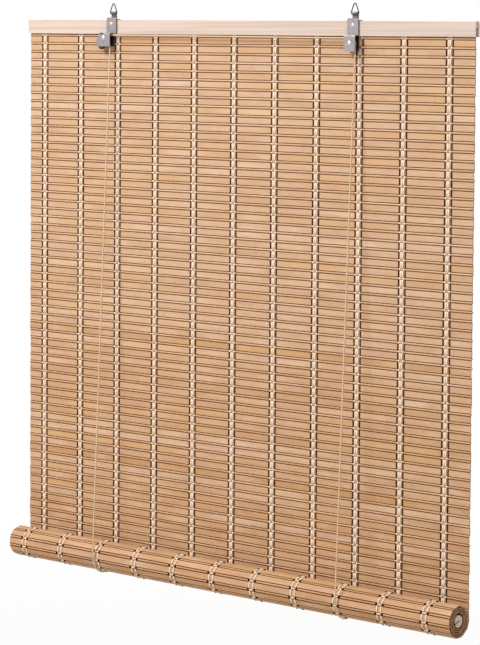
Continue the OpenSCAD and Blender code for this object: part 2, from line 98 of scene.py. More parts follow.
Pair = tuple[float, float]
Point = tuple[float, float, float]
Span = tuple[float, float, float, float]
Spot = tuple[Point, float]
Colour = tuple[int, int, int]
Paint = tuple[float, float, float, float]
Material = bpy.types.Material
Mesh = bpy.types.Mesh
Piece = bpy.types.Object
Socket = bpy.types.NodeSocket


class Body(Enum):
    """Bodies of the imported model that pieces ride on."""

    HEAD = "head"
    SLING = "sling"
    ROLL = "roll"
    LEFT_HANGER = "left_hanger"
    RIGHT_HANGER = "right_hanger"


class Slot(Enum):
    """Material slots of the record that the pieces made here stand for."""

    BAMBOO = "bamboo"
    CREAM_YARN = "cream_yarn"
    BROWN_YARN = "brown_yarn"
    ZINC = "zinc_steel"
    WIRE = "dark_wire"
    CORD = "lift_cord"


class Side(Enum):
    """Which face of the mat a yarn lies on where it crosses a slat."""

    FRONT = -1
    BACK = 1


# Node building


class NodeNet:
    """A node tree under construction, with short calls for its nodes and links."""

    def __init__(self, tree: bpy.types.NodeTree) -> None:
        """Starts from a tree, empty or not."""
        self.tree = tree

    def add(self, kind: str, inputs: dict | None = None, **settings: object) -> bpy.types.Node:
        """Adds a node.

        Args:
            kind: Blender's node type.
            inputs: values or output sockets for its inputs, by name or index.
            settings: plain properties of the node.

        Returns:
            The new node.
        """
        node = self.tree.nodes.new(kind)
        for key, value in settings.items():
            setattr(node, key, value)
        for key, value in (inputs or {}).items():
            self.feed(node.inputs[key], value)
        return node

    def feed(self, socket: Socket, value: object) -> None:
        """Links or sets an input.

        Args:
            socket: the input.
            value: an output socket to link to it, or a value of its own.
        """
        if isinstance(value, Socket):
            self.tree.links.new(value, socket)
        else:
            socket.default_value = value

    def out(self, kind: str, inputs: dict | None = None, **settings: object) -> Socket:
        """First output of a new node."""
        return self.add(kind, inputs, **settings).outputs[0]

    def math(self, operation: str, a: object, b: object = 0.0) -> Socket:
        """One step of arithmetic."""
        return self.out("ShaderNodeMath", {0: a, 1: b}, operation=operation)

    def chain(self, operation: str, values: list[Socket]) -> Socket:
        """The same step of arithmetic through a row of values."""
        return reduce(partial(self.math, operation), values)

    def vector(self, operation: str, a: object, b: object) -> Socket:
        """One step of arithmetic on vectors."""
        return self.out("ShaderNodeVectorMath", {0: a, 1: b}, operation=operation)

    def scaled(self, vector: object, by: object) -> Socket:
        """A vector times a number."""
        return self.out("ShaderNodeVectorMath", {0: vector, "Scale": by}, operation="SCALE")

    def spread(self, value: object, low: float, high: float, first: float, last: float) -> Socket:
        """Maps the range from low to high to the one from first to last, clamped."""
        ends = {"From Min": low, "From Max": high, "To Min": first, "To Max": last}
        return self.out("ShaderNodeMapRange", {"Value": value, **ends})

    def seen_directly(self) -> Socket:
        """One for the rays of the camera, mirrors and glass, and nought for those that light the object."""
        path = self.add("ShaderNodeLightPath").outputs
        return self.chain("MAXIMUM", [path[ray] for ray in DIRECT_RAYS])


@dataclass(frozen=True)
class Grain:
    """A noise: its cycles a metre along each axis, and its levels of detail."""

    cycles: Point
    detail: float


@dataclass(frozen=True)
class Tint:
    """A colour laid over another, from none where a value is low to a share where it is high."""

    low: float
    high: float
    share: float
    colour: Colour


def rgb(colour: Colour) -> Paint:
    """A screen colour from 0 to 255 as the linear colour that a shader takes."""
    return (*[pow(c / SCREEN_WHITE, SCREEN_GAMMA) for c in colour], 1.0)


class Shader(NodeNet):
    """A material under construction."""

    def __init__(self, name: str) -> None:
        """Starts the material with a lone principled shader.

        Args:
            name: the material's name.
        """
        self.material = bpy.data.materials.new(name)
        self.material.use_nodes = True
        super().__init__(self.material.node_tree)
        self.surface = self.tree.nodes["Principled BSDF"]

    def place(self, cycles: Point = (1, 1, 1)) -> Socket:
        """Object coordinates, stretched to so many cycles a metre along each axis."""
        here = self.add("ShaderNodeTexCoord").outputs["Object"]
        return self.out("ShaderNodeMapping", {"Vector": here, "Scale": cycles})

    def axes(self) -> bpy.types.NodeOutputs:
        """Object coordinates in metres, as X, Y and Z."""
        return self.add("ShaderNodeSeparateXYZ", {0: self.place()}).outputs

    def noise(self, grain: Grain, shift: object = (0, 0, 0)) -> Socket:
        """Noise over the piece, moved by a shift, and about a half on the whole."""
        here = self.vector("ADD", self.place(grain.cycles), shift)
        return self.out("ShaderNodeTexNoise", {"Vector": here, "Scale": 1.0, "Detail": grain.detail})

    def wave(self, inputs: dict[str, object]) -> Socket:
        """Slanted bands, by the node's inputs."""
        return self.add("ShaderNodeTexWave", inputs, bands_direction="DIAGONAL").outputs["Fac"]

    def tint(self, colour: object, value: object, tint: Tint) -> Socket:
        """Lays a tint over a colour by a value."""
        mix = {SHARE: self.spread(value, tint.low, tint.high, 0.0, tint.share), UNDER: colour}
        return self.add("ShaderNodeMix", {**mix, OVER: rgb(tint.colour)}, data_type="RGBA").outputs[MIXED]

    def ramp(self, value: object, colours: tuple[Colour, ...]) -> Socket:
        """Colours at even steps along a value from nought to one.

        Args:
            value: where on the ramp to read.
            colours: the steps, in order.

        Returns:
            The colour there.
        """
        node = self.add("ShaderNodeValToRGB", {"Fac": value})
        elements = node.color_ramp.elements
        while len(elements) < len(colours):
            elements.new(HALF)
        for i, (element, colour) in enumerate(zip(elements, colours)):
            element.position = i / (len(colours) - 1)
            element.color = rgb(colour)
        return node.outputs["Color"]

    def attribute(self, name: str) -> Socket:
        """A number kept on the piece's own mesh."""
        return self.add("ShaderNodeAttribute", attribute_name=name).outputs["Fac"]

    def bump(self, height: object, strength: float, distance: float) -> None:
        """Raises the surface by a height value."""
        node = self.add("ShaderNodeBump", {"Height": height, "Strength": strength, "Distance": distance})
        self.feed(self.surface.inputs["Normal"], node.outputs["Normal"])

    def finish(
        self, colour: object, roughness: object, metallic: float = 0.0, gloss: object = 0.5
    ) -> Material:
        """Sets the shader's main sockets.

        Args:
            colour: base colour.
            roughness: how dull it is.
            metallic: how much it shines like metal.
            gloss: level of its mirror light.

        Returns:
            The finished material.
        """
        names = ("Base Color", "Roughness", "Metallic", "Specular IOR Level")
        for name, value in zip(names, (colour, roughness, metallic, gloss)):
            self.feed(self.surface.inputs[name], value)
        return self.material


# Finishes


@dataclass(frozen=True)
class BambooFinish:
    """Planed bamboo strips: every strip its own tan, with fibres and joints, painted shade at the edges and
    painted light towards the top.
    """

    shades: tuple[Colour, ...] = (
        (191, 143, 94),
        (210, 171, 137),
        (199, 153, 108),
        (215, 181, 150),
        (200, 158, 116),
        (208, 168, 133),
    )
    fibre: Grain = Grain((9, 900, 900), 4)
    patch: Grain = Grain((14, 30, 30), 3)
    smudge: Grain = Grain((30, 160, 160), 2)
    broad: Grain = Grain((5, 16, 16), 2)
    dark_fibres: Tint = Tint(0.42, 0.64, 0.46, (170, 122, 84))
    dark_patches: Tint = Tint(0.50, 0.74, 0.45, (170, 122, 84))
    pale_patches: Tint = Tint(0.47, 0.28, 0.45, (226, 196, 166))
    smudges: Tint = Tint(0.60, 0.74, 0.35, (170, 122, 84))
    # Painted light: the mat paler towards its top, as if lit more strongly there.
    painted_top_light: Tint = Tint(-0.7, -0.3, 0.24, (226, 200, 176))
    golden: Tint = Tint(0.5, 0.68, 0.4, (209, 162, 106))
    joints: Tint = Tint(0.0, 1.0, 0.16, (150, 100, 62))
    # Painted shade: dark brown where the edge value is high, in the gaps between slats and reeds, on the
    # cut ends and between the roll's turns.
    edges: Tint = Tint(0.2, 0.8, 1.0, (104, 54, 0))
    joint_step: float = 0.29
    joint_half: float = 0.006
    joint_shift: float = 7.31
    joint_rise: float = 0.7
    strip_offset: Point = (131.0, 57.0, 93.0)
    relief: Pair = (0.25, 0.0004)
    roughness: Span = (0.3, 0.7, 0.5, 0.64)
    gloss: float = 0.3

    def material(self) -> Material:
        """Builds the finish.

        Returns:
            The material.
        """
        s = Shader("bamboo_strip")
        tone, edge, here = s.attribute("tone"), s.attribute("edge"), s.axes()
        own = s.scaled(self.strip_offset, tone)
        fibre, patch, smudge, broad = [
            s.noise(grain, own) for grain in (self.fibre, self.patch, self.smudge, self.broad)
        ]
        run = s.math("ADD", here["X"], s.math("MULTIPLY", tone, self.joint_shift))
        run = s.math("FRACT", s.math("DIVIDE", run, self.joint_step))
        joint = s.math("ABSOLUTE", s.math("SUBTRACT", run, HALF))
        joint = s.spread(joint, 0.0, self.joint_half, 1.0, 0.0)
        colour = s.ramp(tone, self.shades)
        for value, tint in (
            (fibre, self.dark_fibres),
            (patch, self.dark_patches),
            (patch, self.pale_patches),
            (smudge, self.smudges),
            (here["Z"], self.painted_top_light),
            (broad, self.golden),
            (joint, self.joints),
            (edge, self.edges),
        ):
            colour = s.tint(colour, value, tint)
        s.bump(s.math("ADD", fibre, s.math("MULTIPLY", joint, self.joint_rise)), *self.relief)
        # No gloss where painted shade lies.
        gloss = s.spread(edge, self.edges.low, self.edges.high, self.gloss, 0.0)
        return s.finish(colour, s.spread(patch, *self.roughness), gloss=gloss)


@dataclass(frozen=True)
class PaleWoodFinish:
    """Planed pale softwood with a fine straight grain."""

    base: Colour = (213, 194, 181)
    grain: Grain = Grain((4, 380, 380), 4)
    cloud: Grain = Grain((6, 40, 40), 2)
    dark_grain: Tint = Tint(0.42, 0.66, 0.7, (192, 168, 150))
    clouds: Tint = Tint(0.52, 0.7, 0.35, (207, 185, 166))
    relief: Pair = (0.18, 0.0003)
    roughness: Span = (0.3, 0.7, 0.5, 0.66)

    def material(self) -> Material:
        """Builds the finish.

        Returns:
            The material.
        """
        s = Shader("pale_wood")
        grain = s.noise(self.grain)
        colour = s.tint(rgb(self.base), grain, self.dark_grain)
        colour = s.tint(colour, s.noise(self.cloud), self.clouds)
        s.bump(grain, *self.relief)
        return s.finish(colour, s.spread(grain, *self.roughness))


@dataclass(frozen=True)
class YarnFinish:
    """Soft plied yarn with slanted plies and a little fuzz."""

    name: str
    base: Colour
    shade: Colour
    ply_scale: float = 360.0
    ply_bend: float = 1.2
    ply_detail: float = 2.0
    ply_fineness: float = 3.0
    dark_plies: tuple[float, float, float] = (0.55, 0.0, 0.75)
    dark_fuzz: tuple[float, float, float] = (0.5, 0.75, 0.35)
    fuzz: Grain = Grain((700, 700, 700), 3)
    relief: Pair = (0.6, 0.0003)
    roughness: float = 0.9

    def material(self) -> Material:
        """Builds the finish.

        Returns:
            The material.
        """
        s = Shader(self.name)
        bands = {"Vector": s.place(), "Scale": self.ply_scale, "Distortion": self.ply_bend}
        ply = s.wave({**bands, "Detail": self.ply_detail, "Detail Scale": self.ply_fineness})
        fuzz = s.noise(self.fuzz)
        colour = s.tint(rgb(self.base), ply, Tint(*self.dark_plies, self.shade))
        colour = s.tint(colour, fuzz, Tint(*self.dark_fuzz, self.shade))
        s.bump(s.math("ADD", ply, fuzz), *self.relief)
        return s.finish(colour, self.roughness, gloss=0.0)


@dataclass(frozen=True)
class MetalFinish:
    """Dull plated steel with faint mottling and handling marks, and painted shade inside a housing where it
    has one.
    """

    name: str
    base: Colour
    dark: Colour
    roughness: float
    housing: tuple[float, float, float] | None = None
    metallic: float = 0.85
    mottle: Grain = Grain((160, 160, 160), 4)
    dark_mottle: tuple[float, float, float] = (0.4, 0.68, 0.7)
    mottled: Pair = (0.3, 0.7)
    scratch: Grain = Grain((90, 90, 1400), 2)
    scratch_rise: float = 0.4
    # Painted shade for the inside of a housing.
    painted_housing_shade: Tint = Tint(0.0, 1.0, 0.75, (44, 38, 36))
    relief: Pair = (0.12, 0.0003)
    rougher: Pair = (-0.08, 0.1)

    def material(self) -> Material:
        """Builds the finish.

        Returns:
            The material.
        """
        s = Shader(self.name)
        mottle, scratch = s.noise(self.mottle), s.noise(self.scratch)
        colour = s.tint(rgb(self.base), mottle, Tint(*self.dark_mottle, self.dark))
        # Painted shade: darkens the faces between the housing's plates, where the lamps hardly reach.
        if self.housing:
            here, (near, far, top) = s.axes(), self.housing
            tests = (("GREATER_THAN", "Y", near), ("LESS_THAN", "Y", far), ("LESS_THAN", "Z", top))
            inside = [s.math(test, here[axis], limit) for test, axis, limit in tests]
            colour = s.tint(colour, s.chain("MULTIPLY", inside), self.painted_housing_shade)
        s.bump(s.math("ADD", mottle, s.math("MULTIPLY", scratch, self.scratch_rise)), *self.relief)
        low, high = [self.roughness + more for more in self.rougher]
        return s.finish(colour, s.spread(mottle, *self.mottled, low, high), self.metallic)


@dataclass(frozen=True)
class CordFinish:
    """Fine braided cord, by the tube's own length and girth."""

    valley: Colour = (196, 170, 136)
    plies: Tint = Tint(0.3, 0.95, 1.0, (232, 206, 172))
    fuzz: Grain = Grain((900, 900, 900), 2)
    fuzzy: Tint = Tint(0.5, 0.75, 0.3, (188, 160, 128))
    ply_scale: float = 1.6
    ply_bend: float = 0.3
    relief: Pair = (0.35, 0.0002)
    roughness: float = 0.8
    gloss: float = 0.2

    def material(self) -> Material:
        """Builds the finish.

        Returns:
            The material.
        """
        s = Shader("braided_cord")
        girth = s.out("ShaderNodeUVMap", uv_map="girth")
        ways = [s.out("ShaderNodeMapping", {"Vector": girth, "Scale": (way, 1, 1)}) for way in (1, -1)]
        bands = {"Scale": self.ply_scale, "Distortion": self.ply_bend}
        braid = s.chain("MAXIMUM", [s.wave({"Vector": way, **bands}) for way in ways])
        colour = s.tint(rgb(self.valley), braid, self.plies)
        colour = s.tint(colour, s.noise(self.fuzz), self.fuzzy)
        s.bump(braid, *self.relief)
        return s.finish(colour, self.roughness, gloss=self.gloss)


@dataclass(frozen=True)
class PlasticFinish:
    """Moulded plastic, made dark grey to paint the shade inside the housings where the spool and the wheel
    sit.
    """

    # Dark grey as painted shade inside the housings.
    base: Colour = (92, 86, 82)
    grain: Grain = Grain((500, 500, 500), 2)
    specks: Tint = Tint(0.4, 0.7, 0.4, (74, 69, 66))
    relief: Pair = (0.1, 0.0002)
    roughness: Span = (0.3, 0.7, 0.38, 0.5)

    def material(self) -> Material:
        """Builds the finish.

        Returns:
            The material.
        """
        s = Shader("moulded_plastic")
        grain = s.noise(self.grain)
        s.bump(grain, *self.relief)
        return s.finish(s.tint(rgb(self.base), grain, self.specks), s.spread(grain, *self.roughness))


class Finishes:
    """Every material of the blind, built once."""

    def __init__(self) -> None:
        """Builds them."""
        # Where painted shade falls inside each bracket's housing: the Y between its plates and the Z below
        # its top.
        housing = (-16.75 * MM, -9.65 * MM, -9.85 * MM)
        self.bamboo = BambooFinish().material()
        self.pale_wood = PaleWoodFinish().material()
        self.cream = YarnFinish("cream_yarn", (255, 234, 210), (236, 202, 172)).material()
        self.brown = YarnFinish("brown_yarn", (69, 30, 5), (42, 16, 2)).material()
        self.zinc = MetalFinish("dull_zinc", (160, 153, 153), (130, 124, 127), 0.5, housing).material()
        # A darker copy of the plated steel for the straps, as painted shade on their necks, folds and back
        # plates.
        self.strap = MetalFinish("dark_zinc", (120, 115, 116), (86, 82, 84), 0.46, housing).material()
        self.bright = MetalFinish("bright_zinc", (226, 222, 220), (190, 186, 186), 0.32).material()
        self.wire = MetalFinish("dark_wire", (84, 80, 82), (60, 57, 60), 0.42).material()
        self.cord = CordFinish().material()
        self.plastic = PlasticFinish().material()


# Mesh building


def linked(name: str, mesh: Mesh) -> Piece:
    """A new object for a mesh, in the scene.

    Args:
        name: the object's name.
        mesh: its mesh.

    Returns:
        The object.
    """
    piece = bpy.data.objects.new(name, mesh)
    bpy.context.scene.collection.objects.link(piece)
    return piece


def tube(
    name: str,
    rings: list[list[Point]],
    material: Material,
    smooth: bool = True,
    edge: list[list[float]] | None = None,
    girth: list[Pair] | None = None,
) -> Piece:
    """Joins rings of points to a tube with two end caps, its faces outwards.

    Args:
        name: name of the object and its mesh.
        rings: rings of equal length, in order along the tube.
        material: its one material.
        smooth: whether its faces shade smoothly.
        edge: a number for each point of each ring, kept on the mesh.
        girth: for each point, how far round and along the tube it lies, kept as a UV map.

    Returns:
        The object, linked to the scene.
    """
    sides, last, faces = len(rings[0]), (len(rings) - 1) * len(rings[0]), []
    for a in range(0, last, sides):
        pairs = [(k, (k + 1) % sides) for k in range(sides)]
        faces.extend((a + k, a + n, a + sides + n, a + sides + k) for k, n in pairs)
    faces.append(tuple(reversed(range(sides))))
    faces.append(tuple(range(last, last + sides)))
    mesh = bpy.data.meshes.new(name)
    mesh.from_pydata([p for ring in rings for p in ring], [], faces)
    # Share of painted shade at each point, which the bamboo finish reads.
    if edge:
        attribute = mesh.attributes.new("edge", "FLOAT", "POINT")
        attribute.data.foreach_set("value", np.array(edge, np.float32).ravel())
    if girth:
        loops = np.array([girth[loop.vertex_index] for loop in mesh.loops], np.float32)
        mesh.uv_layers.new(name="girth").data.foreach_set("uv", loops.ravel())
    mesh.polygons.foreach_set("use_smooth", [smooth] * len(mesh.polygons))
    mesh.materials.append(material)
    mesh.validate()
    work = bmesh.new()
    work.from_mesh(mesh)
    bmesh.ops.recalc_face_normals(work, faces=work.faces)
    work.to_mesh(mesh)
    work.free()
    mesh.update()
    return linked(name, mesh)


def round_rings(path: list[Vector], side: Vector, r: float, sides: int) -> list[list[Point]]:
    """Rings of a round tube along a path.

    Args:
        path: the middle line.
        side: a direction that the path never takes.
        r: radius of the tube.
        sides: points in a ring.

    Returns:
        One ring for each point of the path.
    """
    rings, last = [], len(path) - 1
    turns = [2 * math.pi * k / sides for k in range(sides)]
    for i, p in enumerate(path):
        ahead = (path[min(i + 1, last)] - path[min(i, last - 1)]).normalized()
        behind = (path[max(i, 1)] - path[max(i - 1, 0)]).normalized()
        t = (ahead + behind).normalized()
        u = (side - side.dot(t) * t).normalized() * r
        v = t.cross(u)
        rings.append([tuple(p + u * math.cos(a) + v * math.sin(a)) for a in turns])
    return rings


def joined(name: str, parts: list[Piece]) -> Piece:
    """Joins pieces of one material to one piece.

    Args:
        name: name of the whole.
        parts: the pieces, which are used up.

    Returns:
        The whole, linked to the scene.
    """
    mesh, work = bpy.data.meshes.new(name), bmesh.new()
    for part in parts:
        work.from_mesh(part.data)
    work.to_mesh(mesh)
    work.free()
    mesh.materials.append(parts[0].data.materials[0])
    for part in parts:
        old = part.data
        bpy.data.objects.remove(part)
        bpy.data.meshes.remove(old)
    return linked(name, mesh)


def place(piece: Piece, body: Body, slot: Slot, nodes: tuple[str, ...]) -> None:
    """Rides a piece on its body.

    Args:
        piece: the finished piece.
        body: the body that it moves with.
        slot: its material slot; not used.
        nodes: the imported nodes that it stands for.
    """
    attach(piece, body.value)
    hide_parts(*nodes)
    LOG.info("%s rides on %s, %d faces", piece.name, body.value, len(piece.data.polygons))


# Geometry Nodes


class PieceTree(NodeNet):
    """Geometry Nodes with named inputs, which make one plain mesh from a carrier of points or lines."""

    def __init__(self, name: str, inputs: dict[str, str]) -> None:
        """Starts the tree.

        Args:
            name: name of the piece that it makes.
            inputs: kind of socket for each named input.
        """
        self.name = name
        super().__init__(bpy.data.node_groups.new(name + "_tree", "GeometryNodeTree"))
        face = self.tree.interface
        for label, kind in {"Geometry": "Geometry", **inputs}.items():
            face.new_socket(label, in_out="INPUT", socket_type="NodeSocket" + kind)
        face.new_socket("Geometry", in_out="OUTPUT", socket_type="NodeSocketGeometry")
        self.source = self.add("NodeGroupInput").outputs

    def close(self, geometry: Socket, material: Material) -> None:
        """Ends the tree in real meshes of one material.

        Args:
            geometry: what the tree has made.
            material: its material.
        """
        real = self.out("GeometryNodeRealizeInstances", {"Geometry": geometry})
        paint = self.out("GeometryNodeSetMaterial", {"Geometry": real, "Material": material})
        self.add("NodeGroupOutput", {"Geometry": paint})

    def run(self, mesh: Mesh, values: dict[str, object]) -> Piece:
        """Makes the piece.

        Args:
            mesh: the points or lines that carry it.
            values: value of each named input.

        Returns:
            One plain mesh object.
        """
        carrier = linked(self.name + "_carrier", mesh)
        modifier = carrier.modifiers.new("make", "NODES")
        modifier.node_group = self.tree
        for item in self.tree.interface.items_tree:
            if item.name in values:
                modifier[item.identifier] = values[item.name]
        bpy.context.view_layer.update()
        made = carrier.evaluated_get(bpy.context.evaluated_depsgraph_get())
        done = bpy.data.meshes.new_from_object(made)
        carrier.modifiers.clear()
        bpy.data.objects.remove(carrier)
        return linked(self.name, done)


@dataclass
class CopyTree:
    """Sets a shape on every point, each copy with its own tone, end play and slight bow."""

    name: str
    shape: Piece
    material: Material
    tone: Pair = (0.0, 1.0)
    end_play: float = 0.0
    bow: float = 0.0
    seed: int = 0
    waves: Point = (7, 40, 40)

    def make(self, spots: Sequence[Point], turns: Sequence[float]) -> Piece:
        """Sets out the copies.

        Args:
            spots: where each copy's middle goes.
            turns: turn of each copy about X, in radians.

        Returns:
            One plain mesh object with every copy in it.
        """
        mesh = bpy.data.meshes.new(self.name)
        mesh.from_pydata(spots, [], [])
        turn = mesh.attributes.new("turn", "FLOAT_VECTOR", "POINT")
        turn.data.foreach_set("vector", np.array([(a, 0, 0) for a in turns], np.float32).ravel())
        values = {"Shape": self.shape, "Seed": self.seed, "End Play": self.end_play, "Bow": self.bow}
        values["Tone Low"], values["Tone High"] = self.tone
        return self.net().run(mesh, values)

    def net(self) -> PieceTree:
        """Builds the node tree.

        Returns:
            The tree, ready to run.
        """
        sizes = dict.fromkeys(("Tone Low", "Tone High", "End Play", "Bow"), "Float")
        net = PieceTree(self.name, {"Shape": "Object", "Seed": "Int", **sizes})
        source, seed, play = net.source, net.source["Seed"], net.source["End Play"]
        shape = net.add("GeometryNodeObjectInfo", {"Object": source["Shape"]}).outputs["Geometry"]
        turn = net.out("GeometryNodeInputNamedAttribute", {"Name": "turn"}, data_type="FLOAT_VECTOR")
        spots = {"Points": source["Geometry"], "Instance": shape, "Rotation": turn}
        copies = net.out("GeometryNodeInstanceOnPoints", spots)
        tones = {LEAST: source["Tone Low"], MOST: source["Tone High"], "Seed": seed}
        tone = net.add("FunctionNodeRandomValue", tones).outputs[DRAWN]
        kept = {"Geometry": copies, "Name": "tone", "Value": tone}
        copies = net.out("GeometryNodeStoreNamedAttribute", kept, domain="INSTANCE")
        slides = {LEAST: net.math("MULTIPLY", play, -1.0), MOST: play, "Seed": seed}
        slide = net.add("FunctionNodeRandomValue", slides).outputs[DRAWN]
        slide = net.out("ShaderNodeCombineXYZ", {"X": slide})
        copies = net.out("GeometryNodeTranslateInstances", {"Instances": copies, "Translation": slide})
        real = net.out("GeometryNodeRealizeInstances", {"Geometry": copies})
        here = net.vector("MULTIPLY", net.out("GeometryNodeInputPosition"), self.waves)
        wave = net.add("ShaderNodeTexNoise", {"Vector": here, "Scale": 1.0}).outputs["Color"]
        across = net.vector("MULTIPLY", net.vector("SUBTRACT", wave, [HALF] * 3), (0, 1, 1))
        bowed = {"Geometry": real, "Offset": net.scaled(across, source["Bow"])}
        net.close(net.out("GeometryNodeSetPosition", bowed), self.material)
        return net


@dataclass
class TubeTree:
    """Runs an oval tube along every path, its width across the plane that the path bends in."""

    name: str
    material: Material
    width: float
    thick: float
    sides: int

    def make(self, paths: list[list[Vector]], closed: bool = False) -> Piece:
        """Makes the tubes.

        Args:
            paths: middle line of each tube.
            closed: whether each path's end joins its start.

        Returns:
            One plain mesh object with every tube in it.
        """
        points, edges = [], []
        for path in paths:
            first = len(points)
            points.extend(tuple(p) for p in path)
            edges.extend((i, i + 1) for i in range(first, len(points) - 1))
            edges.extend([(len(points) - 1, first)] if closed else [])
        mesh = bpy.data.meshes.new(self.name)
        mesh.from_pydata(points, edges, [])
        return self.net().run(mesh, {"Width": self.width, "Thickness": self.thick, "Sides": self.sides})

    def net(self) -> PieceTree:
        """Builds the node tree.

        Returns:
            The tree, ready to run.
        """
        net = PieceTree(self.name, {"Width": "Float", "Thickness": "Float", "Sides": "Int"})
        source = net.source
        line = net.out("GeometryNodeMeshToCurve", {"Mesh": source["Geometry"]})
        ring = net.out("GeometryNodeCurvePrimitiveCircle", {"Resolution": source["Sides"], "Radius": HALF})
        size = net.out("ShaderNodeCombineXYZ", {"X": source["Width"], "Y": source["Thickness"], "Z": 1.0})
        oval = net.out("GeometryNodeTransform", {"Geometry": ring, "Scale": size})
        run = {"Curve": line, "Profile Curve": oval, "Fill Caps": True}
        net.close(net.out("GeometryNodeCurveToMesh", run), self.material)
        return net


# The blind's pieces


@dataclass(frozen=True)
class MatLayout:
    """Sizes of the woven mat, as in the part's source, and where its rows are."""

    width: float = 800 * MM
    slat_w: float = 9.2 * MM
    slat_t: float = 1.4 * MM
    reed_d: float = 2.2 * MM
    gap: float = 0.3 * MM
    plane_y: float = -5.2 * MM
    top_z: float = 0.85 * MM
    drop_rows: int = 63
    kept_rows: int = 11
    roll_rows: int = 37
    turn_pitch: float = 2.61 * MM
    rod_d: float = 16 * MM
    rod_room: float = 0.8 * MM
    first_column: float = 30 * MM
    last_column: float = 40 * MM

    @property
    def pitch(self) -> float:
        """Height of a row: a slat, a reed and their two gaps."""
        return self.slat_w + self.reed_d + 2 * self.gap

    @property
    def rate(self) -> float:
        """Loss of the roll's radius in a radian."""
        return self.turn_pitch / (2 * math.pi)

    @property
    def wound_len(self) -> float:
        """Length of mat on the roll, up to its last reed."""
        return (self.roll_rows - 1) * self.pitch + self.gap / 2 + self.reed_d

    @property
    def outer_r(self) -> float:
        """Radius of the mat's middle at the start of the roll."""
        inner = self.rod_d / 2 + self.rod_room + self.reed_d / 2
        return math.sqrt(inner**2 + 2 * self.rate * self.wound_len)

    @property
    def roll_y(self) -> float:
        """Roll's axis, from the wall."""
        return self.plane_y - self.outer_r

    @property
    def roll_z(self) -> float:
        """Roll's axis, in height."""
        return self.top_z - self.drop_rows * self.pitch

    def reed_at(self, row: int) -> float:
        """Place of a row's reed along the mat."""
        return row * self.pitch + self.gap / 2 + self.reed_d / 2

    def slat_at(self, row: int) -> float:
        """Place of a row's slat along the mat."""
        return row * self.pitch + 1.5 * self.gap + self.reed_d + self.slat_w / 2

    def column_x(self, index: int) -> float:
        """Middle of a yarn column."""
        step = (self.width - self.first_column - self.last_column) / (COLUMNS - 1)
        return -self.width / 2 + self.first_column + index * step

    def turn(self, s: float) -> float:
        """Angle on the roll, in radians, of a place along the wound mat."""
        return (self.outer_r - math.sqrt(self.outer_r**2 - 2 * self.rate * s)) / self.rate

    def about_axis(self, r: float, a: float, x: float = 0.0) -> Vector:
        """A point at a radius and an angle about the roll's axis."""
        return Vector((x, self.roll_y + r * math.cos(a), self.roll_z - r * math.sin(a)))

    def on_roll(self, s: float, x: float, lift: float) -> Vector:
        """A point on the roll, lifted outwards from the mat's middle."""
        a = self.turn(s)
        return self.about_axis(self.outer_r - self.rate * a + lift, a, x)

    def strip_on_roll(self, s: float, lift: float) -> Spot:
        """Place and turn of a strip on the roll."""
        return tuple(self.on_roll(s, 0, lift)), -self.turn(s)


@dataclass(frozen=True)
class Yarn:
    """One warp yarn of a column: its place at slats and at reeds, its section and its side at slats."""

    slat_x: float
    reed_x: float
    width: float
    thick: float
    at_slats: Side


def yarn_pair(slat_x: float, reed_x: float, width: float, thick: float, side: Side) -> tuple[Yarn, Yarn]:
    """Two like yarns at either side of a column's middle, by sizes in millimetres."""
    return tuple(Yarn(n * slat_x * MM, n * reed_x * MM, width * MM, thick * MM, side) for n in (-1, 1))


